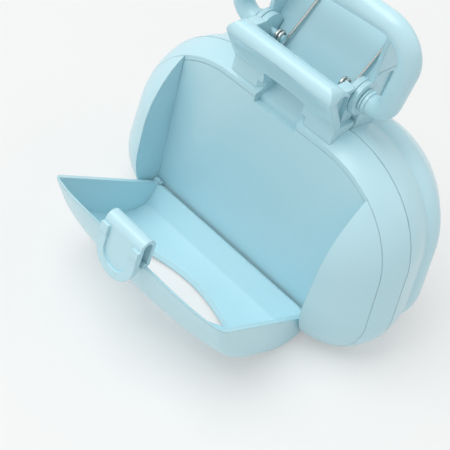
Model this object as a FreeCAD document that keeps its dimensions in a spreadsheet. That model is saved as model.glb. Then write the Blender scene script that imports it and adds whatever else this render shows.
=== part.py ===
import FreeCAD, Part
import Sketcher
import math
import os

Vector = FreeCAD.Vector
Rotation = FreeCAD.Rotation
Placement = FreeCAD.Placement

# A hand-held scooper: two spring-closed jaws under two squeeze levers, a bail handle on the
# same pivots, and a bag compartment with a bottom-hinged door in front.
# The origin lies on the resting plane under the jaw pivot. X runs along the pivots, -Y to the
# front, +Z up. Millimetres and degrees.

SIZES = {
    # Body outline at the front seam
    "body_height": 86.3,
    "body_half_width": 74.3,
    "body_side_lean": 0.115,
    "top_corner_radius": 43.0,
    "bottom_corner_radius": 24.0,
    "foot_lift": 1.5,
    "foot_cut": 0.2,
    "shell_wall": 2.2,
    # Places of the seams along Y, from the pivot
    "front_seam_ahead": 13.5,
    "jaw_seam_ahead": 1.7,
    "crease_behind": 14.5,
    "rear_dome_depth": 28.0,
    "front_dome_depth": 17.6,
    "jaw_seam_swell": 4.2,
    "crease_swell": 1.0,
    "seam_gap": 0.3,
    # Compartment
    "cheek_face": 50.0,
    "plate_thickness": 2.0,
    "cheek_wall": 2.0,
    # Latch recess, with drops measured down from the top of the body
    "catch_ledge_half_width": 10.9,
    "catch_ledge_drop": 4.1,
    "catch_step_depth": 3.3,
    "recess_half_width": 10.4,
    "recess_floor_drop": 1.3,
    "recess_roof_rise": 9.3,
    "recess_back_wall": 1.2,
    "recess_flare": 2.6,
    # Pivot of the jaws, above the top of the body
    "pivot_height": 18.2,
    "pivot_pin_radius": 1.6,
    "pivot_pin_inner_end": 14.8,
    "running_clearance": 0.05,
    "side_clearance": 0.3,
    # Handles, with heights above the top of the body
    "handle_half_width": 26.5,
    "handle_base_top": 7.6,
    "handle_base_root": 8.0,
    "front_base_front": 12.0,
    "front_base_back": 0.3,
    "rear_base_back": 13.7,
    "lug_inner": 22.0,
    "lug_thickness": 2.6,
    "lug_radius": 6.9,
    "disc_radius": 7.05,
    "disc_thickness": 2.1,
    "lever_reach": 21.6,
    "lever_height": 27.4,
    "lever_nose_radius": 4.2,
    "lever_wall": 3.2,
    "lever_back_reach": 10.4,
    "lever_back_drop": 4.0,
    "lever_back_edge": 1.1,
    "lever_crown_rise": 0.7,
    "lever_corner_radius": 5.0,
    "scoop_depth": 2.6,
    "scoop_half_height": 9.4,
    "scoop_half_width": 25.0,
    "web_wall": 2.0,
    "web_inset": 3.8,
    "web_drop": 2.6,
    "web_rim_inset": 0.9,
    "web_rim_wall": 1.3,
    "panel_lean": 27.0,
    "panel_thickness": 2.5,
    "panel_offset": 4.3,
    "panel_length": 29.0,
    "panel_edge_bevel": 1.0,
    "rear_wall_top": 28.5,
    "rear_wall_front": 1.5,
    "rear_wall_top_reach": 4.2,
    "rear_wall_flare": 1.6,
    "rear_rib_rise": 10.5,
    "rear_rib_front": 3.5,
    "rear_rib_wall": 1.2,
    "rear_pocket_front": 8.0,
    "rear_pocket_low": 7.0,
    "rear_pocket_depth": 0.9,
    # Springs
    "wire_diameter": 1.15,
    "coil_diameter": 4.8,
    "coil_pitch": 1.6,
    "coil_turns": 2,
    "short_leg_dip": 32.0,
    "coil_start": 15.2,
    "coil_spacing": 33.85,
    "long_leg": 23.0,
    "long_leg_lean": 2.8,
    "short_leg": 11.8,
    # Bail
    "bail_tube_radius": 4.25,
    "bail_neck_start": 28.6,
    "bail_side_foot": 36.9,
    "bail_side_slope": 0.173,
    "bail_height": 38.2,
    "bail_foot_bend": 8.0,
    "bail_top_bend": 13.0,
    "bail_grip_swell": 1.8,
    "bail_tilt": 12.0,
    "bail_bore_depth": 5.0,
    "bail_flange_radius": 4.8,
    "bail_flange_length": 1.4,
    "collar_radius": 4.6,
    # Door
    "door_half_width": 48.2,
    "door_wall": 2.0,
    "door_axis_height": 12.5,
    "door_axis_ahead": 1.8,
    "door_side_depth": 18.3,
    "door_middle_depth": 23.3,
    "door_lip_height": 75.3,
    "door_lip_flat": 27.0,
    "door_lip_fall": 4.8,
    "door_bulge_start": 0.05,
    "door_bulge_full": 0.28,
    "door_edge_round": 3.5,
    "door_open_angle": 61.8,
    "door_pin_radius": 1.0,
    "door_barrel_radius": 1.5,
    "door_pin_head_radius": 1.5,
    "door_pin_head_length": 0.6,
    "slot_half_width": 28.5,
    "slot_low_edge": 13.7,
    "slot_edge_rise": 7.0,
    "slot_top_edge": 36.0,
    # Latch, in the door's own frame
    "latch_half_width": 10.0,
    "latch_wall": 1.6,
    "latch_slope": 22.0,
    "latch_plate_height": 0.7,
    "latch_plate_length": 9.4,
    "latch_bend_radius": 3.6,
    "latch_bend_back": 8.3,
    "latch_root_depth": 1.2,
    "latch_root_rise": 0.6,
    "tab_length": 19.9,
    "tab_border_width": 3.5,
    "tab_border_height": 1.0,
    "nub_length": 4.0,
    "nub_width": 3.8,
    "nub_height": 1.5,
    "nub_offset": 8.3,
    "nub_ahead": 2.5,
    "flex_gap": 0.1,
    # Screws
    "screw_shank_radius": 1.4,
    "screw_head_radius": 2.7,
    "screw_head_height": 1.8,
    "screw_length": 9.0,
    "screw_socket_radius": 1.3,
    "screw_socket_depth": 1.0,
    "boss_radius": 3.4,
    "handle_screw_offset": 18.0,
    "housing_screw_offset": 58.0,
    "housing_screw_low": 26.0,
    "housing_screw_rise": 24.0,
}

doc = FreeCAD.newDocument("Scooper")
sheet = doc.addObject("Spreadsheet::Sheet", "Sizes")
for row, (alias, value) in enumerate(SIZES.items(), start=1):
    sheet.set(f"A{row}", alias.replace("_", " "))
    sheet.set(f"B{row}", str(value))
    sheet.setAlias(f"B{row}", alias)
doc.recompute()


def size(alias):
    return float(getattr(sheet, alias))


NODES = []


def solid_node(name, shape):
    """Add a finished shape to the document as a sub-part of its own."""
    obj = doc.addObject("Part::Feature", name)
    obj.Label = name
    obj.Shape = shape.removeSplitter()
    obj.Placement = Placement()
    NODES.append(obj)
    return obj


# Places that follow from the sizes
FRONT_SEAM = -size("front_seam_ahead")
JAW_SEAM = -size("jaw_seam_ahead")
CREASE = size("crease_behind")
WALL = size("shell_wall")
HALF_GAP = size("seam_gap") / 2
BODY_TOP = size("foot_lift") + size("body_height")
PIVOT = Vector(0, 0, BODY_TOP + size("pivot_height"))
BASE_TOP = BODY_TOP + size("handle_base_top")
LEDGE_TOP = BODY_TOP - size("catch_ledge_drop")
STEP_BACK = FRONT_SEAM + size("catch_step_depth")
LUG_OUTER = size("lug_inner") + size("lug_thickness")
DISC_INNER = LUG_OUTER + size("side_clearance")
DISC_OUTER = DISC_INNER + size("disc_thickness")
DOOR_Y = FRONT_SEAM - size("door_axis_ahead")
DOOR_AXIS = Vector(0, DOOR_Y, size("door_axis_height"))
FAR = 200.0


def box(x0, x1, y0, y1, z0, z1):
    return Part.makeBox(x1 - x0, y1 - y0, z1 - z0, Vector(x0, y0, z0))


def slab_x(points, x0, x1):
    """A prism along X whose outline is given as (y, z) points."""
    corners = [Vector(x0, y, z) for y, z in points]
    face = Part.Face(Part.makePolygon(corners + corners[:1]))
    return face.extrude(Vector(x1 - x0, 0, 0))


def rod_x(x0, x1, radius, centre):
    start = Vector(x0, centre.y, centre.z)
    return Part.makeCylinder(radius, x1 - x0, start, Vector(1, 0, 0))


def prism_x(start, steps, x0, x1):
    """A prism along X. A step is a (y, z) point, or a pair of them for an arc through the first."""
    def at(point):
        return Vector(x0, point[0], point[1])

    here = start
    edges = []
    for step in steps + [start]:
        if isinstance(step[0], tuple):
            edges.append(Part.Arc(at(here), at(step[0]), at(step[1])).toShape())
            here = step[1]
        else:
            edges.append(Part.makeLine(at(here), at(step)))
            here = step
    return Part.Face(Part.Wire(edges)).extrude(Vector(x1 - x0, 0, 0))


# Body surface: one outline family for both jaws, the cheeks and the door gap
def ring(y, swell, inset=0.0):
    """The rounded outline at y, grown by swell and then moved inwards by inset."""
    top = BODY_TOP + swell - inset
    low = size("foot_lift") - min(swell, size("foot_lift") + size("foot_cut")) + inset
    half = size("body_half_width") + swell - inset
    scale = (top - low) / size("body_height")
    tr = size("top_corner_radius") * scale
    br = size("bottom_corner_radius") * scale
    lean = math.atan(size("body_side_lean"))
    nx, nz = math.cos(lean), math.sin(lean)
    reach = nx * half + nz * size("foot_lift")

    def centre(z, radius):
        return (reach - radius - nz * z) / nx

    tz, bz = top - tr, low + br
    tx, bx = centre(tz, tr), centre(bz, br)

    def on(cx, cz, radius, angle):
        return Vector(cx + radius * math.cos(angle), y, cz + radius * math.sin(angle))

    up, mid, down = math.pi / 2, (math.pi / 2 + lean) / 2, -math.pi / 2
    right = [
        on(tx, tz, tr, up), on(tx, tz, tr, mid), on(tx, tz, tr, lean),
        on(bx, bz, br, lean), on(bx, bz, br, (lean + down) / 2), on(bx, bz, br, down),
    ]
    left = [Vector(-p.x, p.y, p.z) for p in right]
    edges = [
        Part.LineSegment(left[0], right[0]),
        Part.Arc(right[0], right[1], right[2]),
        Part.LineSegment(right[2], right[3]),
        Part.Arc(right[3], right[4], right[5]),
        Part.LineSegment(right[5], left[5]),
        Part.Arc(left[5], left[4], left[3]),
        Part.LineSegment(left[3], left[2]),
        Part.Arc(left[2], left[1], left[0]),
    ]
    return Part.Wire([e.toShape() for e in edges])


# How far each stretch of the body swells beyond the front seam's outline
def cheek_swell(share):
    return -(11.1 * share + 14.0 * (1 - math.sqrt(1 - share ** 2)))


def band_swell(share):
    return size("jaw_seam_swell") * (1 - (1 - share) ** 1.5)


def slope_swell(share):
    fall = size("jaw_seam_swell") - size("crease_swell")
    return size("jaw_seam_swell") - fall * share ** 1.8


def dome_swell(share):
    bulge = 1.5 * math.sin(math.pi * min(1.0, 2 * share))
    return size("crease_swell") + bulge - 26.0 * (1 - math.sqrt(1 - share ** 2))


def span(y0, y1, swell, shares, inset=0.0, end_inset=0.0):
    """The solid between two places of the body surface, through sections at the shares."""
    length = y1 - y0
    kept = length - math.copysign(end_inset, length)
    return Part.makeLoft([ring(y0 + kept * share, swell(share), inset) for share in shares], True, False)


BAND = (0.0, 0.5, 1.0)
SLOPE = (0.0, 0.35, 0.7, 1.0)
DOME = (0.0, 0.15, 0.32, 0.5, 0.66, 0.79, 0.89, 0.96, 0.99)


def front_band(inset=0.0):
    return span(FRONT_SEAM, JAW_SEAM, band_swell, BAND, inset)


def rear_slope(inset=0.0):
    return span(JAW_SEAM, CREASE, slope_swell, SLOPE, inset)


def rear_dome(inset=0.0):
    return span(CREASE, CREASE + size("rear_dome_depth"), dome_swell, DOME, inset, inset)


def front_dome(inset=0.0):
    return span(FRONT_SEAM, FRONT_SEAM - size("front_dome_depth"), cheek_swell, DOME, inset, inset)


BELOW_FLOOR = box(-FAR, FAR, -FAR, FAR, -10.0, 0.0)


# Screws stand on their heads: the head's seat is at zero and the shank runs up
def screw(name):
    shank = doc.addObject("Part::Cylinder", name + "_shank")
    shank.setExpression("Radius", "Sizes.screw_shank_radius")
    shank.setExpression("Height", "Sizes.screw_length")
    head = doc.addObject("Part::Cylinder", name + "_head")
    head.setExpression("Radius", "Sizes.screw_head_radius")
    head.setExpression("Height", "Sizes.screw_head_height")
    head.setExpression("Placement.Base.z", "-Sizes.screw_head_height")
    socket = doc.addObject("Part::Cylinder", name + "_socket")
    socket.setExpression("Radius", "Sizes.screw_socket_radius")
    socket.setExpression("Height", "Sizes.screw_socket_depth")
    socket.setExpression("Placement.Base.z", "-Sizes.screw_head_height")
    whole = doc.addObject("Part::Fuse", name + "_blank")
    whole.Base = shank
    whole.Tool = head
    cut = doc.addObject("Part::Cut", name + "_screw")
    cut.Base = whole
    cut.Tool = socket
    return cut


def screw_group(name, seats, turn):
    """One node of identical screws, one at each seat."""
    doc.recompute()
    copies = []
    for number, seat in enumerate(seats, start=1):
        one = screw(f"{name}_{number}")
        one.Placement = Placement(seat, turn)
        copies.append(one)
    group = doc.addObject("Part::Compound", name)
    group.Label = name
    group.Links = copies
    NODES.append(group)
    return group


HANDLE_BOSS_FLOOR = BODY_TOP - 3.0
FRONT_SCREW_Y = (FRONT_SEAM + JAW_SEAM) / 2 + 1.3
REAR_SCREW_Y = size("rear_base_back") / 2
HOUSING_SEAT_Y = FRONT_SEAM + 2 * size("plate_thickness")
HANDLE_SEATS_X = (-size("handle_screw_offset"), size("handle_screw_offset"))
HOUSING_HEIGHTS = (size("housing_screw_low"), size("housing_screw_low") + size("housing_screw_rise"))
HOUSING_SEATS = [
    Vector(side * size("housing_screw_offset"), HOUSING_SEAT_Y, z)
    for side in (-1, 1) for z in HOUSING_HEIGHTS
]
FRONT_SEATS = [Vector(x, FRONT_SCREW_Y, HANDLE_BOSS_FLOOR) for x in HANDLE_SEATS_X]
REAR_SEATS = [Vector(x, REAR_SCREW_Y, HANDLE_BOSS_FLOOR) for x in HANDLE_SEATS_X]
UP = Rotation()
FORWARD = Rotation(Vector(1, 0, 0), 90)


def shank_holes(seats, direction):
    holes = []
    for seat in seats:
        start = seat - direction * 5
        radius, deep = size("screw_shank_radius"), size("screw_length") + 5
        holes.append(Part.makeCylinder(radius, deep, start, direction))
    return Part.makeCompound(holes)


def screw_bosses(seats):
    """Flat pads under a jaw's roof for the handle screws."""
    return [Part.makeCylinder(size("boss_radius"), 9, seat, Vector(0, 0, 1)) for seat in seats]


def latch_recess():
    """The pocket that the latch folds into: a ledge, a step up and a floor that climbs backwards."""
    half = size("recess_half_width")
    roof = BODY_TOP + size("recess_roof_rise")
    floor = BODY_TOP - size("recess_floor_drop")
    back = -size("front_base_back") - size("recess_back_wall")
    climb = (back - STEP_BACK) * math.tan(math.radians(size("latch_slope")))
    pocket = slab_x([
        (-FAR, LEDGE_TOP), (STEP_BACK, LEDGE_TOP), (STEP_BACK, floor), (back, floor + climb),
        (back, roof), (-FAR, roof),
    ], -half, half)
    wide = size("catch_ledge_half_width")
    return pocket.fuse(box(-wide, wide, -FAR, STEP_BACK, LEDGE_TOP, BODY_TOP))


# Front jaw: a shallow tray, open to the rear
def front_jaw_shell():
    outer = front_band()
    hollow = front_band(WALL)
    keep = box(-FAR, FAR, HOUSING_SEAT_Y, FAR, -FAR, FAR)
    pocket = box(-FAR, FAR, -FAR, FRONT_SEAM + size("plate_thickness"), -FAR, FAR)
    shell = outer.cut(hollow.common(keep)).cut(hollow.common(pocket))
    pads = [pad.common(outer) for pad in screw_bosses(FRONT_SEATS)]
    wide = size("recess_half_width") + WALL
    floor_pad = box(-wide, wide, FRONT_SEAM + size("plate_thickness"), JAW_SEAM - 1,
                    LEDGE_TOP - WALL, FAR)
    pads.append(floor_pad.common(outer))
    shell = shell.fuse(pads).cut(latch_recess())
    shell = shell.cut(box(-FAR, FAR, JAW_SEAM - HALF_GAP, FAR, -FAR, FAR)).cut(BELOW_FLOOR)
    shell = shell.cut(shank_holes(FRONT_SEATS, Vector(0, 0, 1)))
    return shell.cut(shank_holes(HOUSING_SEATS, Vector(0, -1, 0)))


# Compartment housing: the flat back plate and two hollow cheeks
def compartment_housing():
    plate_back = FRONT_SEAM + size("plate_thickness")
    plate = front_band(WALL + 0.1).common(box(-FAR, FAR, FRONT_SEAM, plate_back, -FAR, FAR))
    dome = front_dome()
    cave = front_dome(size("cheek_wall"))
    face = size("cheek_face")
    cheeks = []
    for side in (-1, 1):
        outside = box(face, FAR, -FAR, FRONT_SEAM - HALF_GAP, -FAR, FAR)
        inside = box(face + size("cheek_wall"), FAR, -FAR, FAR, -FAR, FAR)
        if side < 0:
            outside = outside.mirror(Vector(), Vector(1, 0, 0))
            inside = inside.mirror(Vector(), Vector(1, 0, 0))
        cheeks.append(dome.common(outside).cut(cave.common(inside)))
        fin_x = side * (face + size("cheek_wall") / 2)
        fin = box(fin_x - size("cheek_wall") / 2, fin_x + size("cheek_wall") / 2,
                  FRONT_SEAM - 1.0, plate_back, 6.0, BODY_TOP - 24.0)
        cheeks.append(fin)
    bosses = []
    for seat in HOUSING_SEATS:
        start = Vector(seat.x, plate_back, seat.z)
        boss = Part.makeCylinder(size("boss_radius"), size("screw_length"), start, Vector(0, -1, 0))
        bosses.append(boss)
    housing = plate.fuse(cheeks + bosses)
    housing = housing.cut(latch_recess())
    pin = size("door_pin_radius")
    reach = face + size("cheek_wall") + 1.5
    return housing.cut(shank_holes(HOUSING_SEATS, Vector(0, -1, 0))).cut(rod_x(-reach, reach, pin, DOOR_AXIS))


# Rear jaw: a bowl that closes on the front jaw
def rear_jaw_shell():
    outer = rear_slope().fuse(rear_dome())
    inner = rear_slope(WALL).fuse(rear_dome(WALL))
    shell = outer.cut(inner)
    pads = [pad.common(outer) for pad in screw_bosses(REAR_SEATS)]
    shell = shell.fuse(pads)
    shell = shell.cut(box(-FAR, FAR, -FAR, JAW_SEAM + HALF_GAP, -FAR, FAR)).cut(BELOW_FLOOR)
    return shell.cut(shank_holes(REAR_SEATS, Vector(0, 0, 1)))


# Front handle: base block, latch recess, scooped thumb lever, side webs and lugs
def thumb_lever():
    """A leaning wall whose head rolls backwards, with a shallow bowl in its front face."""
    half = size("handle_half_width")
    foot = -size("front_base_front")
    reach = -size("lever_reach")
    top = BODY_TOP + size("lever_height")
    nose = size("lever_nose_radius")
    wall = size("lever_wall")
    tail = (-size("lever_back_reach"), top - size("lever_back_drop"))
    edge = size("lever_back_edge")
    low_nose = (reach + 0.07 * nose, top - 1.33 * nose)
    nose_mid = (reach + 0.29 * nose, top - 0.29 * nose)
    nose_top = (reach + nose, top)
    crown = ((nose_top[0] + tail[0]) / 2, (nose_top[1] + tail[1]) / 2 + size("lever_crown_rise"))

    # The wall keeps one thickness from the foot up to the underside of the head
    lean = math.atan2(foot - low_nose[0], low_nose[1] - BASE_TOP)
    back_y, back_z = wall * math.cos(lean), wall * math.sin(lean)
    under_y, under_z = back_z / 2, back_y / 2
    inner_foot = (foot + back_y, BASE_TOP + back_z)
    inner_top = (low_nose[0] + back_y + under_y, low_nose[1] + back_z - under_z)
    under_tail = (tail[0] - 0.5 * edge, tail[1] - 0.9 * edge)
    under_crown = (crown[0] - edge, crown[1] - 2 * edge)
    solid = prism_x((foot, BASE_TOP - wall), [
        (foot, BASE_TOP), low_nose, (nose_mid, nose_top), (crown, tail), under_tail, (under_crown, inner_top),
        inner_foot, (inner_foot[0], BASE_TOP - wall),
    ], -half, half)

    radius = size("lever_corner_radius")
    bend = radius * (1 - math.sqrt(0.5))
    low = BASE_TOP - wall
    corner = ((half, top - radius), (half - bend, top - bend), (half - radius, top))
    right = [Vector(x, -FAR, z) for x, z in corner]
    left = [Vector(-p.x, p.y, p.z) for p in right]
    outline = Part.Wire([
        Part.makeLine(Vector(half, -FAR, low), right[0]),
        Part.Arc(*right).toShape(),
        Part.makeLine(right[2], left[2]),
        Part.Arc(*reversed(left)).toShape(),
        Part.makeLine(left[0], Vector(-half, -FAR, low)),
        Part.makeLine(Vector(-half, -FAR, low), Vector(half, -FAR, low)),
    ])
    solid = solid.common(Part.Face(outline).extrude(Vector(0, 2 * FAR, 0)))

    tall, depth = size("scoop_half_height"), size("scoop_depth")
    ball_radius = (tall ** 2 + depth ** 2) / (2 * depth)
    stretch = FreeCAD.Matrix()
    stretch.A11 = size("scoop_half_width") / tall
    bowl = Part.makeSphere(ball_radius).transformGeometry(stretch)
    outward = Vector(0, -math.cos(lean), -math.sin(lean))
    upward = Vector(0, -math.sin(lean), math.cos(lean))
    middle = Vector(0, foot, BASE_TOP) + upward * tall
    bowl.translate(middle + outward * (ball_radius - depth))
    return solid.cut(bowl)


def front_handle():
    half = size("handle_half_width")
    front, back = -size("front_base_front"), -size("front_base_back")
    base = box(-half, half, front, back, BODY_TOP - size("handle_base_root"), BASE_TOP)

    # The mouth of the recess flares towards the front
    inner, flare = size("recess_half_width"), size("recess_flare")
    mouth = Part.makePolygon([
        Vector(-inner - flare, front, BODY_TOP), Vector(inner + flare, front, BODY_TOP),
        Vector(inner, front + flare, BODY_TOP), Vector(-inner, front + flare, BODY_TOP),
        Vector(-inner - flare, front, BODY_TOP),
    ])
    base = base.cut(Part.Face(mouth).extrude(Vector(0, 0, size("handle_base_top"))))
    body = base.fuse(thumb_lever())

    # Side webs run from the lever back to round lugs; a rim along their top stands further out
    radius = size("lug_radius")
    top = BODY_TOP + size("lever_height") - size("web_drop")
    reach = -size("lever_reach") + size("lever_nose_radius")
    web_top = (reach + 2.0, top)
    web_tail = (0.7 - radius, PIVOT.z + radius - 0.3)
    skyline = [(reach - 1.5, top - size("lever_nose_radius")), web_top, web_tail]
    web = [(front + 0.5, BASE_TOP - 1)] + skyline + [(0.0, PIVOT.z), (back, PIVOT.z), (back, BASE_TOP - 1)]
    under = [(y, z - size("web_rim_wall")) for y, z in (web_tail, web_top)]
    rim = [web_top, web_tail] + under
    web_out = half - size("web_inset")
    web_in = web_out - size("web_wall")
    disc_room = size("disc_radius") + size("side_clearance") + 0.1
    extras = []
    for side in (-1, 1):
        near, far = sorted((side * web_in, side * web_out))
        plate = slab_x(web, near, far)
        near, far = sorted((side * web_in, side * (half - size("web_rim_inset"))))
        plate = plate.fuse(slab_x(rim, near, far))
        near, far = sorted((side * LUG_OUTER, side * FAR))
        plate = plate.cut(rod_x(near, far, disc_room, PIVOT))
        plate = plate.cut(box(near, far, -radius, FAR, -FAR, FAR))
        near, far = sorted((side * size("lug_inner"), side * LUG_OUTER))
        lug = rod_x(near, far, radius, PIVOT)
        foot_points = [(-radius, BASE_TOP - 1), (-radius, PIVOT.z), (back, PIVOT.z), (back, BASE_TOP - 1)]
        extras += [plate, lug, slab_x(foot_points, near, far)]
    body = body.fuse(extras).cut(latch_recess())

    # The base sits on the jaw's roof and clears the rear jaw
    clear = rear_slope(-size("side_clearance") - 0.1).common(box(-FAR, FAR, JAW_SEAM - 0.3, FAR, -FAR, FAR))
    body = body.cut(front_band()).cut(clear)
    body = body.cut(box(-FAR, FAR, -FAR, FAR, -FAR, BODY_TOP - 1.2))
    pin = rod_x(-FAR, FAR, size("pivot_pin_radius"), PIVOT)
    body = body.cut(pin).cut(shank_holes(FRONT_SEATS, Vector(0, 0, 1)))
    return biggest(body)


def biggest(shape):
    return max(shape.Solids, key=lambda solid: solid.Volume)


# Rear handle: base block, leaning panel, side walls and the outer discs
def rear_handle():
    half = size("handle_half_width")
    front, back = size("front_base_back"), size("rear_base_back")
    base_top = BASE_TOP
    base = box(-half, half, front, back, BODY_TOP - size("handle_base_root"), base_top)
    base = base.cut(rear_slope()).cut(rear_dome())
    base = base.cut(box(-FAR, FAR, -FAR, FAR, -FAR, BODY_TOP + 0.6))

    lean = math.radians(size("panel_lean"))
    along = Vector(0, math.sin(lean), math.cos(lean))
    across = Vector(0, math.cos(lean), -math.sin(lean))
    face_foot = PIVOT + across * size("panel_offset")

    def on_panel(along_share, depth):
        point = face_foot + along * along_share + across * depth
        return (point.y, point.z)

    thick, bevel = size("panel_thickness"), size("panel_edge_bevel")
    drop = (face_foot.z - base_top + 1) / along.z
    end = size("panel_length")
    panel_half = DISC_OUTER - 0.1
    panel = slab_x([
        on_panel(-drop, 0), on_panel(end - bevel, 0), on_panel(end, bevel), on_panel(end, thick - bevel),
        on_panel(end - bevel, thick), on_panel(-drop, thick),
    ], -panel_half, panel_half)

    tip = PIVOT.z + size("rear_wall_top")
    wall_front, tip_front = size("rear_wall_front"), size("rear_wall_top_reach")
    wall_back = back + size("rear_wall_flare")
    shelf = PIVOT.z + size("rear_rib_rise")
    side = [
        (front + 0.2, base_top - 1), (wall_front - 1, PIVOT.z - 6), (wall_front, PIVOT.z + 2),
        (tip_front - 1.6, tip - 1.2), (tip_front, tip),
        on_panel(end, thick - bevel), on_panel(end - bevel, thick),
        (wall_back, shelf), (back, base_top - 1),
    ]
    parts = [panel]
    for x0, x1 in ((DISC_INNER, panel_half), (-panel_half, -DISC_INNER)):
        parts.append(slab_x(side, x0, x1))
    for x0, x1 in ((DISC_INNER, DISC_OUTER), (-DISC_OUTER, -DISC_INNER)):
        parts.append(rod_x(x0, x1, size("disc_radius"), PIVOT))

    # A stiffening rib crosses the outside of each wall, above a shallow pocket
    for x0, x1 in ((panel_half - 0.2, DISC_OUTER + 0.1), (-DISC_OUTER - 0.1, 0.2 - panel_half)):
        parts.append(box(x0, x1, size("rear_rib_front"), wall_back, shelf - size("rear_rib_wall"), shelf))
    body = base.fuse(parts)
    pocket_front, pocket_roof = size("rear_pocket_front"), shelf - 2
    low = PIVOT.z - size("rear_pocket_low")
    pocket = [
        (pocket_front, low + 2), (pocket_front + 0.6, pocket_roof), (back, pocket_roof), (back - 1.4, low),
        (pocket_front + 1.2, low),
    ]
    deep = size("rear_pocket_depth")
    for x0, x1 in ((DISC_OUTER - deep, FAR), (-FAR, deep - DISC_OUTER)):
        body = body.cut(slab_x(pocket, x0, x1))
    hole = rod_x(-FAR, FAR, size("pivot_pin_radius") + size("running_clearance"), PIVOT)
    # Room for the front lugs inside the discs
    room_in = size("lug_inner") - size("side_clearance")
    room = size("lug_radius") + size("side_clearance")
    for x0, x1 in ((room_in, DISC_INNER), (-DISC_INNER, -room_in)):
        body = body.cut(rod_x(x0, x1, room, PIVOT))
    body = body.cut(box(-FAR, FAR, -FAR, front, -FAR, base_top + 1))
    body = body.cut(hole).cut(shank_holes(REAR_SEATS, Vector(0, 0, 1)))
    return biggest(body)


# Door: a deep tray, drawn closed and then swung open about its lower edge
def door_profile(x, inset=0.0):
    """The closed outline of the tray at x, as (height, depth) from the hinge axis."""
    share = min(1.0, abs(x) / size("door_half_width"))
    bulge = (size("door_middle_depth") - size("door_side_depth")) * (1 - share ** 2)
    rounded = size("door_edge_round")
    over = max(0.0, abs(x) - (size("door_half_width") - rounded)) / rounded
    edge = rounded * (1 - math.sqrt(max(0.0, 1 - min(1.0, over) ** 2)))
    flat = size("door_lip_flat")
    fall = max(0.0, abs(x) - flat) / (size("door_half_width") - flat)
    lip = size("door_lip_height") - size("door_lip_fall") * fall ** 2 - edge - inset
    low = inset - 0.2
    curve = [
        (0.0, 0.68), (0.05, 0.83), (0.14, 0.97), (0.28, 1.0), (0.46, 1.0),
        (0.6, 0.93), (0.7, 0.825), (0.79, 0.66), (0.88, 0.4), (0.95, 0.18), (1.0, 0.0),
    ]
    points = []
    start, full = size("door_bulge_start"), size("door_bulge_full")
    for height, part in curve:
        swell = bulge * min(1.0, max(0.0, height - start) / (full - start)) ** 2
        depth = (size("door_side_depth") + swell - inset) * part
        points.append((low + (lip - low) * height, max(0.0, depth - edge * min(1.0, 2 * part))))
    return low, points


def door_block(half, inset=0.0):
    right = [0.28, 0.55, 0.8, 0.925, 0.955, 0.985, 1.0]
    stations = [-share for share in reversed(right)] + [0.0] + right
    wires = []
    back = -8.0 if inset else 0.0
    for share in stations:
        x = half * share
        low, points = door_profile(x if not inset else x * 0.98, inset)
        path = [Vector(x, -depth, height) for height, depth in points]
        curve = Part.BSplineCurve()
        curve.interpolate(path)
        start = Vector(x, -back, low)
        finish = Vector(x, -back, points[-1][0])
        edges = [curve.toShape()]
        if inset:
            edges.append(Part.makeLine(path[-1], finish))
        edges.append(Part.makeLine(finish, start))
        edges.append(Part.makeLine(start, path[0]))
        wires.append(Part.Wire(edges))
    return Part.makeLoft(wires, True, False)


def door_frame(shape):
    """Move a shape from the closed door's own frame to where the open door stands."""
    moved = shape.copy()
    moved.rotate(Vector(), Vector(1, 0, 0), size("door_open_angle"))
    moved.translate(DOOR_AXIS)
    return moved


def compartment_door():
    half = size("door_half_width")
    wall = size("door_wall")
    right_side = box(0, FAR, -FAR, FAR, -FAR, FAR)
    block = door_block(half).common(right_side)
    hollow = door_block(half - wall, wall).common(box(-1, FAR, -FAR, FAR, -FAR, FAR))
    outer = size("cheek_face") - size("side_clearance")
    bore = size("door_pin_radius") + size("running_clearance")
    block = block.fuse(rod_x(half - wall, outer, size("door_barrel_radius"), Vector()))
    head_room = size("door_pin_head_radius") + size("side_clearance")
    head_start = half - wall - 2 * size("side_clearance") - size("door_pin_head_length")
    block = block.cut(rod_x(half - 2 * wall, FAR, bore, Vector())).cut(hollow)
    block = block.cut(rod_x(head_start, half - wall, head_room, Vector()))

    # The slot is a window with two bowed edges
    wide = size("slot_half_width")
    low, high = size("slot_low_edge"), size("slot_top_edge")
    ends = low + size("slot_edge_rise")
    left, right = Vector(-wide, 0, ends), Vector(wide, 0, ends)
    slot = Part.Wire([
        Part.Arc(left, Vector(0, 0, low), right).toShape(),
        Part.Arc(right, Vector(0, 0, high), left).toShape(),
    ])
    window = Part.Face(slot).extrude(Vector(0, -40, 0))
    window.translate(Vector(0, -8, 0))
    block = block.cut(window)
    tray = block.fuse(block.mirror(Vector(), Vector(1, 0, 0))).removeSplitter()
    return door_frame(biggest(tray))


# Latch: the arm climbs back from the lip, and the folded tab flexes about its bend
BEND_RISE = size("latch_plate_height") + size("latch_bend_radius")
BEND = Vector(0, size("latch_bend_back"), size("door_lip_height") + BEND_RISE)


def latch_frame(shape):
    """Tilt a shape drawn level about the bend, and stand it on the door."""
    moved = shape.copy()
    moved.rotate(Vector(), Vector(1, 0, 0), size("latch_slope"))
    moved.translate(BEND)
    return moved


def latch_arm():
    half = size("latch_half_width")
    outer, wall = size("latch_bend_radius"), size("latch_wall")
    plate = box(-half, half, -size("latch_plate_length"), -size("flex_gap"), -outer, wall - outer)
    lip, deep = size("door_lip_height"), size("latch_root_depth")
    root = box(-half, half, -deep, deep, lip - size("door_wall"), lip + size("latch_root_rise"))
    arm = latch_frame(plate).fuse(root).cut(door_block(size("door_half_width")))
    return door_frame(biggest(arm))


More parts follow.
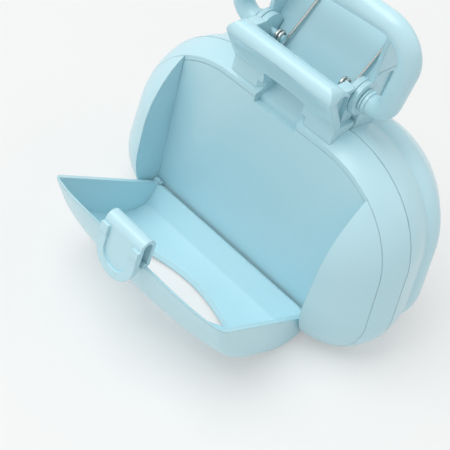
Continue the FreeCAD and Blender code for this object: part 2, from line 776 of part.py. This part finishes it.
def latch_tab():
    half = size("latch_half_width")
    outer, wall = size("latch_bend_radius"), size("latch_wall")
    bend = rod_x(-half, half, outer, Vector()).cut(rod_x(-half, half, outer - wall, Vector()))
    bend = bend.cut(box(-half, half, -FAR, 0, -FAR, FAR))
    under = outer - wall
    nose = half - size("tab_length")
    leaf = box(-half, half, nose, 0, under, outer).fuse(Part.makeCylinder(half, wall, Vector(0, nose, under)))

    # A raised border runs round the nose from nub to nub
    high = size("tab_border_height")
    field = half - size("tab_border_width")
    rear = -size("nub_ahead")
    border = box(-half, half, nose, rear, outer, outer + high)
    border = border.fuse(Part.makeCylinder(half, high, Vector(0, nose, outer)))
    border = border.cut(box(-field, field, nose, FAR, -FAR, FAR))
    border = border.cut(Part.makeCylinder(field, 2 * high, Vector(0, nose, outer - high / 2)))
    nubs = []
    for side in (-1, 1):
        x = side * size("nub_offset")
        nubs.append(box(x - size("nub_width") / 2, x + size("nub_width") / 2,
                        rear - size("nub_length") / 2, rear + size("nub_length") / 2,
                        outer - 0.2, outer + size("nub_height")))
    return door_frame(latch_frame(leaf.fuse([bend, border] + nubs)))


# Bail: one bent round bar with a flange at each neck
def bail_frame(shape):
    moved = shape.copy()
    moved.rotate(Vector(), Vector(1, 0, 0), size("bail_tilt"))
    moved.translate(PIVOT)
    return moved


def round_corner(before, corner, after, radius):
    """The arc that rounds a corner, as (start, arc edge, end)."""
    into = (before - corner).normalize()
    away = (after - corner).normalize()
    turn = into.getAngle(away)
    cut = radius / math.tan(turn / 2)
    start, end = corner + into * cut, corner + away * cut
    middle = (into + away).normalize()
    centre = corner + middle * (radius / math.sin(turn / 2))
    return start, Part.Arc(start, centre - middle * radius, end).toShape(), end


def bail_half():
    """The right-hand bar from its neck to the start of the grip, and where the grip starts."""
    neck, foot, high = size("bail_neck_start"), size("bail_side_foot"), size("bail_height")
    shoulder = foot + size("bail_side_slope") * high
    corners = [Vector(neck, 0, 0), Vector(foot, 0, 0), Vector(shoulder, 0, high), Vector(0, 0, high)]
    edges = []
    here = corners[0]
    for number, radius in enumerate((size("bail_foot_bend"), size("bail_top_bend")), start=1):
        start, arc, end = round_corner(corners[number - 1], corners[number], corners[number + 1], radius)
        edges += [Part.makeLine(here, start), arc]
        here = end
    section = Part.Wire(Part.makeCircle(size("bail_tube_radius"), corners[0], Vector(1, 0, 0)))
    return Part.Wire(edges).makePipeShell([section], True, False), here.x


def bail_handle():
    bar, reach = bail_half()
    radius, high = size("bail_tube_radius"), size("bail_height")
    rings = []
    for share in (-1.0, -0.8, -0.6, -0.4, -0.2, 0.0, 0.2, 0.4, 0.6, 0.8, 1.0):
        tall = radius + size("bail_grip_swell") * math.cos(math.pi * share / 2) ** 2
        x = reach * share
        oval = Part.Ellipse(Vector(x, 0, high + tall), Vector(x, radius, high), Vector(x, 0, high))
        rings.append(Part.Wire(oval.toShape()))
    grip = Part.makeLoft(rings, True, False)

    neck, deep = size("bail_neck_start"), size("bail_flange_length")
    bore = size("pivot_pin_radius") + size("running_clearance")
    depth = neck + size("bail_bore_depth")
    bar = bar.fuse(rod_x(neck, neck + deep, size("bail_flange_radius"), Vector()))
    bar = bar.cut(rod_x(neck - 1, depth, bore, Vector()))
    return bail_frame(grip.fuse([bar, bar.mirror(Vector(), Vector(1, 0, 0))]))


# Springs: a short coil about the pivot with one leg on the rear panel and one on the front base
def torsion_spring():
    radius = size("coil_diameter") / 2
    wire = size("wire_diameter")
    start_angle = -math.radians(size("panel_lean") + size("long_leg_lean"))
    end_angle = -math.radians(90 - size("short_leg_dip")) - 2 * math.pi * round(size("coil_turns"))
    quarters = math.ceil((start_angle - end_angle) / (math.pi / 2))
    step = (start_angle - end_angle) / quarters
    pitch = size("coil_pitch")
    first_x = size("coil_start")

    def at(angle, x):
        return Vector(x, radius * math.cos(angle), radius * math.sin(angle))

    def heading(angle):
        """Unit direction of the coil as it winds on, turning down and forward."""
        ahead = Vector(pitch / (2 * math.pi), radius * math.sin(angle), -radius * math.cos(angle))
        return ahead.normalize()

    points = []
    for number in range(quarters + 1):
        angle = start_angle - number * step
        points.append((at(angle, first_x + pitch * number * step / (2 * math.pi)), heading(angle)))
    lead = points[0][0] - points[0][1] * size("long_leg")
    tail = points[-1][0] + points[-1][1] * size("short_leg")
    edges = [Part.makeLine(lead, points[0][0])]
    for (p, p_dir), (q, q_dir) in zip(points, points[1:]):
        edges += biarc(p, p_dir, q, q_dir)
    edges.append(Part.makeLine(points[-1][0], tail))
    path = Part.Wire(edges)
    section = Part.Wire(Part.makeCircle(wire / 2, lead, points[0][1]))
    spring = path.makePipeShell([section], True, False)
    report_gap(path, wire)
    spring.translate(PIVOT)
    return spring.mirror(Vector(), Vector(1, 0, 0))


def biarc(p, p_dir, q, q_dir):
    """Two tangent arcs from p to q with the given directions at each end."""
    gap = q - p
    total = p_dir + q_dir
    a = 2 * (1 - p_dir.dot(q_dir))
    b = 2 * gap.dot(total)
    c = -gap.dot(gap)
    reach = (-b + math.sqrt(b * b - 4 * a * c)) / (2 * a)
    joint = (p + q + (p_dir - q_dir) * reach) * 0.5

    def arc(start, heading, end):
        chord = end - start
        bow = chord - heading * (2 * heading.dot(chord))
        half = (heading - bow.normalize()).normalize()
        angle = heading.getAngle(chord)
        middle = start + chord * 0.5
        lift = chord.Length / 2 * math.tan(angle / 2)
        normal = (heading - chord * (heading.dot(chord) / chord.dot(chord))).normalize()
        return Part.Arc(start, middle + normal * lift, end).toShape()

    back = arc(q, q_dir * -1, joint)
    halfway = back.valueAt((back.FirstParameter + back.LastParameter) / 2)
    return [arc(p, p_dir, joint), Part.Arc(joint, halfway, q).toShape()]


def report_gap(path, wire):
    """Print the least gap between windings, measured on points along the centre line."""
    points = path.discretize(Number=600)
    spacing = path.Length / 599
    skip = int(2.5 * wire / spacing) + 1
    least = min(
        (points[i] - points[j]).Length
        for i in range(len(points)) for j in range(i + skip * 3, len(points))
    )
    print(f"least gap between spring windings: {least - wire:.2f} mm")


# Turned pieces along X: a body whose half-section is a sketch of (x, radius) corners
def turned(name, corners, centre):
    body = doc.addObject("PartDesign::Body", name)
    body.Label = name
    sketch = body.newObject("Sketcher::SketchObject", name + "_section")
    plane = next(item for item in body.Origin.OriginFeatures if item.Role == "XY_Plane")
    sketch.AttachmentSupport = (plane, [""])
    sketch.MapMode = "FlatFace"
    doc.recompute()
    count = len(corners)
    values = [(value(x), value(r)) for x, r in corners]
    for i in range(count):
        ax, ay = values[i]
        bx, by = values[(i + 1) % count]
        sketch.addGeometry(Part.LineSegment(Vector(ax, ay, 0), Vector(bx, by, 0)))
    for i in range(count):
        sketch.addConstraint(Sketcher.Constraint("Coincident", i, 2, (i + 1) % count, 1))
    for i, (x, r) in enumerate(corners):
        for kind, expression in (("DistanceX", x), ("DistanceY", r)):
            number = sketch.addConstraint(Sketcher.Constraint(kind, -1, 1, i, 1, value(expression)))
            sketch.setExpression(f"Constraints[{number}]", expression)
    lathe = body.newObject("PartDesign::Revolution", name + "_turned")
    lathe.Profile = sketch
    lathe.ReferenceAxis = (sketch, ["H_Axis"])
    lathe.Angle = 360
    body.Tip = lathe
    body.Placement = Placement(centre, Rotation())
    NODES.append(body)
    return body


def value(expression):
    """The present number of an expression over the sheet."""
    names = {alias: size(alias) for alias in SIZES}
    total = 0.0
    for term in expression.replace("-", "+-").split("+"):
        term = term.strip()
        if not term:
            continue
        sign = -1.0 if term.startswith("-") else 1.0
        word = term.lstrip("-").strip().replace("Sizes.", "")
        total += sign * (names[word] if word in names else float(word))
    return total


# Assembly
solid_node("front_jaw_shell", front_jaw_shell())
solid_node("compartment_housing", compartment_housing())
solid_node("rear_jaw_shell", rear_jaw_shell())
solid_node("front_handle", front_handle())
solid_node("rear_handle", rear_handle())
solid_node("compartment_door", compartment_door())
solid_node("latch_arm", latch_arm())
solid_node("latch_tab", latch_tab())
solid_node("bail_handle", bail_handle())
left_spring = torsion_spring()
right_spring = left_spring.copy()
right_spring.translate(Vector(size("coil_spacing"), 0, 0))
solid_node("torsion_spring_left", left_spring)
solid_node("torsion_spring_right", right_spring)

PIN_TIP = "Sizes.bail_neck_start + Sizes.bail_bore_depth - 0.6"
for side_name, turn in (("right", Rotation()), ("left", Rotation(Vector(0, 0, 1), 180))):
    pivot_pin = turned("pivot_pin_" + side_name, [
        ("Sizes.pivot_pin_inner_end", "0"),
        ("Sizes.pivot_pin_inner_end", "Sizes.pivot_pin_radius"),
        (PIN_TIP, "Sizes.pivot_pin_radius"),
        (PIN_TIP, "0"),
    ], PIVOT)
    pivot_pin.Placement = Placement(PIVOT, turn)
    collar_in = "Sizes.lug_inner + Sizes.lug_thickness + Sizes.disc_thickness + 0.6"
    collar_out = "Sizes.bail_neck_start - Sizes.side_clearance"
    collar = turned("bail_collar_" + side_name, [
        (collar_in, "Sizes.pivot_pin_radius"),
        (collar_in, "Sizes.collar_radius"),
        (collar_out, "Sizes.collar_radius"),
        (collar_out, "Sizes.pivot_pin_radius"),
    ], PIVOT)
    collar.Placement = Placement(PIVOT, turn)
    head_end = "Sizes.door_half_width - Sizes.door_wall - Sizes.side_clearance"
    pin_end = "Sizes.cheek_face + Sizes.cheek_wall"
    door_pin = turned("door_pin_" + side_name, [
        (head_end + " - Sizes.door_pin_head_length", "0"),
        (head_end + " - Sizes.door_pin_head_length", "Sizes.door_pin_head_radius"),
        (head_end, "Sizes.door_pin_head_radius"),
        (head_end, "Sizes.door_pin_radius"),
        (pin_end, "Sizes.door_pin_radius"),
        (pin_end, "0"),
    ], DOOR_AXIS)
    door_pin.Placement = Placement(DOOR_AXIS, turn)

screw_group("housing_screws", HOUSING_SEATS, FORWARD)
screw_group("front_handle_screws", FRONT_SEATS, UP)
screw_group("rear_handle_screws", REAR_SEATS, UP)
doc.recompute()

# Every object has to be sound before any file is written
for obj in doc.Objects:
    if "Invalid" in obj.State or "Error" in obj.State:
        raise RuntimeError(f"{obj.Name} did not build: {obj.State}")
for node in NODES:
    if node.Shape.isNull() or not node.Shape.isValid():
        raise RuntimeError(f"{node.Label} has no sound shape")

os.makedirs("parts", exist_ok=True)
for node in NODES:
    node.Shape.exportStep(f"parts/{node.Label}.step")
    print(f"{node.Label}: {len(node.Shape.Solids)} solids, {node.Shape.Volume / 1000:.2f} cm3")
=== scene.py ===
import math

import bpy
from mathutils import Matrix, Vector


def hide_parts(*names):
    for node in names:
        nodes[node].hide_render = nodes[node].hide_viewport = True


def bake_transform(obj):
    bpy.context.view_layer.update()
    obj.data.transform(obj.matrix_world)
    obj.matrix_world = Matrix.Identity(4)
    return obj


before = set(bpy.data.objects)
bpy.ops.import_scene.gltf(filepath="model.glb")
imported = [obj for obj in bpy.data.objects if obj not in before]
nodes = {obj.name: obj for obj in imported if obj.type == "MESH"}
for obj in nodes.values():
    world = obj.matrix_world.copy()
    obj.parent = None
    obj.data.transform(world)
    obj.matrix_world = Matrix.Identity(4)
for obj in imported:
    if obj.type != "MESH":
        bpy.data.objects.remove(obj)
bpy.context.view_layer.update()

# Metres in one millimetre
MM = 0.001

# Camera, as it stood when the photograph was taken
CAMERA_PLACE = Vector((163.9, -268.8, 303.7)) * MM
CAMERA_AZIMUTH = math.radians(33.80)
CAMERA_ELEVATION = math.radians(42.90)
CAMERA_ROLL = math.radians(16.84)
CAMERA_LENS = 77.1
SENSOR_WIDTH = 36.0
CLIP_START = 0.01
CLIP_END = 10.0

# Lamps: name, place and side length in metres, power in watts
LAMP_TARGET = Vector((0, 0, 0.05))
LAMPS = (
    ("key", Vector((-0.32, -0.50, 1.40)), 1.2, 14),
    ("kicker", Vector((-0.15, -0.75, 1.25)), 0.22, 0.9),
    ("fill", Vector((0.85, 0.7, 0.9)), 1.2, 2.0),
)

# Surroundings, with colours linear
BACKDROP = (0.93, 0.935, 0.93, 1.0)
SKY = (0.96, 0.985, 1.0, 1.0)
SKY_STRENGTH = 0.5
FLOOR = (0.86, 0.86, 0.855, 1.0)
FLOOR_SIZE = 6.0
FLOOR_ROUGHNESS = 0.6
# Share of the backdrop's colour in the floor, near the object and far away
GLOW_NEAR = 0.38
GLOW_FAR = 1.0
# Distances from the middle between which that share rises, in metres
FADE_START = 0.10
FADE_END = 0.45

# Plastic: the cloud is in its tint, the grain is its fine skin, and edges are in mm
PLASTIC = (0.53, 0.788, 0.86, 1.0)
PLASTIC_ROUGHNESS = 0.27
PLASTIC_IOR = 1.5
CLOUD_SCALE = 28.0
CLOUD_SHADE = 0.97
GRAIN_SCALE = 420.0
GRAIN_STRENGTH = 0.12
GRAIN_HEIGHT = 0.12
NOISE_DETAIL = 2.0
LARGE_EDGE = 0.5
SMALL_EDGE = 0.25
EDGE_SAMPLES = 4

# Steel
STEEL = (0.62, 0.62, 0.60, 1.0)
WIRE_GRAIN_SCALE = 1500.0
WIRE_ROUGHNESS_LEAST = 0.18
WIRE_ROUGHNESS_MOST = 0.34

# Words in the names of the nodes that are steel, or mouldings with small edges
METAL = ("torsion_spring", "screws")
SMALL_MOULDINGS = ("latch", "pin", "collar")

# Springs: where each coil's turns start and end along the pivot, short leg first, in mm
SPRING_COILS = {"left": (-18.7, -15.2), "right": (15.15, 18.65)}


def make_camera():
    data = bpy.data.cameras.new("camera")
    data.lens = CAMERA_LENS
    data.sensor_width = SENSOR_WIDTH
    data.clip_start = CLIP_START
    data.clip_end = CLIP_END
    camera = bpy.data.objects.new("camera", data)
    bpy.context.scene.collection.objects.link(camera)
    flat = math.cos(CAMERA_ELEVATION)
    aside = math.sin(CAMERA_AZIMUTH) * flat
    ahead = math.cos(CAMERA_AZIMUTH) * flat
    back = Vector((aside, -ahead, math.sin(CAMERA_ELEVATION)))
    right = Vector((0, 0, 1)).cross(back).normalized()
    up = back.cross(right)
    tilted_right = right * math.cos(CAMERA_ROLL) + up * math.sin(CAMERA_ROLL)
    tilted_up = back.cross(tilted_right)
    turn = Matrix((tilted_right, tilted_up, back)).transposed().to_4x4()
    camera.matrix_world = Matrix.Translation(CAMERA_PLACE) @ turn
    bpy.context.scene.camera = camera


def area_light(name, place, side, power):
    """A square lamp that faces the object."""
    data = bpy.data.lights.new(name, "AREA")
    data.shape = "RECTANGLE"
    data.size = side
    data.size_y = side
    data.energy = power
    lamp = bpy.data.objects.new(name, data)
    lamp.location = place
    lamp.rotation_euler = (LAMP_TARGET - place).to_track_quat("-Z", "Y").to_euler()
    bpy.context.scene.collection.objects.link(lamp)


def shader_node(tree, kind, inputs=None):
    """A new node of this kind, with the named inputs set."""
    node = tree.nodes.new("ShaderNode" + kind)
    for name, value in (inputs or {}).items():
        node.inputs[name].default_value = value
    return node


def seen_directly(tree):
    """1 for rays that come straight from the camera, a reflection or clear matter, else 0."""
    path = shader_node(tree, "LightPath")
    shown = path.outputs["Is Camera Ray"]
    for other in ("Is Glossy Ray", "Is Transmission Ray"):
        either = shader_node(tree, "Math")
        either.operation = "MAXIMUM"
        tree.links.new(shown, either.inputs[0])
        tree.links.new(path.outputs[other], either.inputs[1])
        shown = either.outputs[0]
    return shown


def make_world():
    world = bpy.data.worlds.new("studio")
    bpy.context.scene.world = world
    world.use_nodes = True
    tree = world.node_tree
    tree.nodes.clear()
    out = shader_node(tree, "OutputWorld")
    soft = shader_node(tree, "Background", {"Color": SKY, "Strength": SKY_STRENGTH})
    seen = shader_node(tree, "Background", {"Color": BACKDROP, "Strength": 1.0})
    mix = shader_node(tree, "MixShader")
    tree.links.new(seen_directly(tree), mix.inputs["Fac"])
    tree.links.new(soft.outputs[0], mix.inputs[1])
    tree.links.new(seen.outputs[0], mix.inputs[2])
    tree.links.new(mix.outputs[0], out.inputs["Surface"])


def new_material(name):
    """A material with its node tree and main shader."""
    material = bpy.data.materials.new(name)
    material.use_nodes = True
    tree = material.node_tree
    return material, tree, tree.nodes["Principled BSDF"]


def make_floor():
    """A pale floor that keeps the object's shadow and fades into the backdrop further out."""
    bpy.ops.mesh.primitive_plane_add(size=FLOOR_SIZE, location=(0, 0, 0))
    floor = bpy.context.object
    floor.name = "floor"
    material, tree, shader = new_material("floor")
    shader.inputs["Base Color"].default_value = FLOOR
    shader.inputs["Roughness"].default_value = FLOOR_ROUGHNESS
    glow = shader_node(tree, "Emission", {"Color": BACKDROP, "Strength": 1.0})
    place = shader_node(tree, "TexCoord")
    away = shader_node(tree, "VectorMath")
    away.operation = "LENGTH"
    tree.links.new(place.outputs["Object"], away.inputs[0])
    reach = {"From Min": FADE_START, "From Max": FADE_END, "To Min": GLOW_NEAR, "To Max": GLOW_FAR}
    fade = shader_node(tree, "MapRange", reach)
    tree.links.new(away.outputs["Value"], fade.inputs["Value"])
    share = shader_node(tree, "Math")
    share.operation = "MULTIPLY"
    tree.links.new(seen_directly(tree), share.inputs[0])
    tree.links.new(fade.outputs["Result"], share.inputs[1])
    mix = shader_node(tree, "MixShader")
    tree.links.new(share.outputs[0], mix.inputs["Fac"])
    tree.links.new(shader.outputs[0], mix.inputs[1])
    tree.links.new(glow.outputs[0], mix.inputs[2])
    tree.links.new(mix.outputs[0], tree.nodes["Material Output"].inputs["Surface"])
    floor.data.materials.append(material)


def plastic(name, edge_radius):
    """Glossy moulded plastic: a faint cloud in the tint, a fine skin, and rounded edges."""
    material, tree, shader = new_material(name)
    place = shader_node(tree, "TexCoord")
    cloud = shader_node(tree, "TexNoise", {"Scale": CLOUD_SCALE, "Detail": NOISE_DETAIL})
    tree.links.new(place.outputs["Object"], cloud.inputs["Vector"])
    shaded = tuple(part * CLOUD_SHADE for part in PLASTIC[:3]) + (1,)
    tint = shader_node(tree, "MixRGB", {"Color1": PLASTIC, "Color2": shaded})
    tree.links.new(cloud.outputs["Fac"], tint.inputs["Fac"])
    tree.links.new(tint.outputs["Color"], shader.inputs["Base Color"])
    grain = shader_node(tree, "TexNoise", {"Scale": GRAIN_SCALE, "Detail": NOISE_DETAIL})
    tree.links.new(place.outputs["Object"], grain.inputs["Vector"])
    bump = shader_node(tree, "Bump", {"Strength": GRAIN_STRENGTH, "Distance": GRAIN_HEIGHT * MM})
    tree.links.new(grain.outputs["Fac"], bump.inputs["Height"])
    edge = shader_node(tree, "Bevel", {"Radius": edge_radius * MM})
    edge.samples = EDGE_SAMPLES
    tree.links.new(edge.outputs["Normal"], bump.inputs["Normal"])
    tree.links.new(bump.outputs["Normal"], shader.inputs["Normal"])
    shader.inputs["Roughness"].default_value = PLASTIC_ROUGHNESS
    shader.inputs["IOR"].default_value = PLASTIC_IOR
    return material


def steel():
    """Bright drawn wire, with a fine grain in its gloss."""
    material, tree, shader = new_material("spring_steel")
    shader.inputs["Metallic"].default_value = 1.0
    shader.inputs["Base Color"].default_value = STEEL
    place = shader_node(tree, "TexCoord")
    grain = shader_node(tree, "TexNoise", {"Scale": WIRE_GRAIN_SCALE})
    tree.links.new(place.outputs["Object"], grain.inputs["Vector"])
    gloss = {"To Min": WIRE_ROUGHNESS_LEAST, "To Max": WIRE_ROUGHNESS_MOST}
    rough = shader_node(tree, "MapRange", gloss)
    tree.links.new(grain.outputs["Fac"], rough.inputs["Value"])
    tree.links.new(rough.outputs["Result"], shader.inputs["Roughness"])
    return material


def finish_node(name, material):
    materials = nodes[name].data.materials
    materials.clear()
    materials.append(material)


def make_spring(side):
    """A still copy of the spring, short leg on the front, long leg on the rear. The real spring
    winds up as the jaws open, but this copy keeps its resting shape.
    """
    node = nodes["torsion_spring_" + side]
    piece = bpy.data.objects.new("spring_" + side, node.data.copy())
    bpy.context.scene.collection.objects.link(piece)
    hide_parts(node.name)
    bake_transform(piece)


make_camera()
make_world()
make_floor()
for name, place, side, power in LAMPS:
    area_light(name, place, side, power)
casing = plastic("blue_plastic", LARGE_EDGE)
small = plastic("blue_plastic_small", SMALL_EDGE)
wire = steel()
for name in nodes:
    if any(word in name for word in METAL):
        finish_node(name, wire)
    elif any(word in name for word in SMALL_MOULDINGS):
        finish_node(name, small)
    else:
        finish_node(name, casing)
for side, (coil_start, coil_end) in SPRING_COILS.items():
    make_spring(side)

bpy.context.scene.view_settings.view_transform = "Standard"
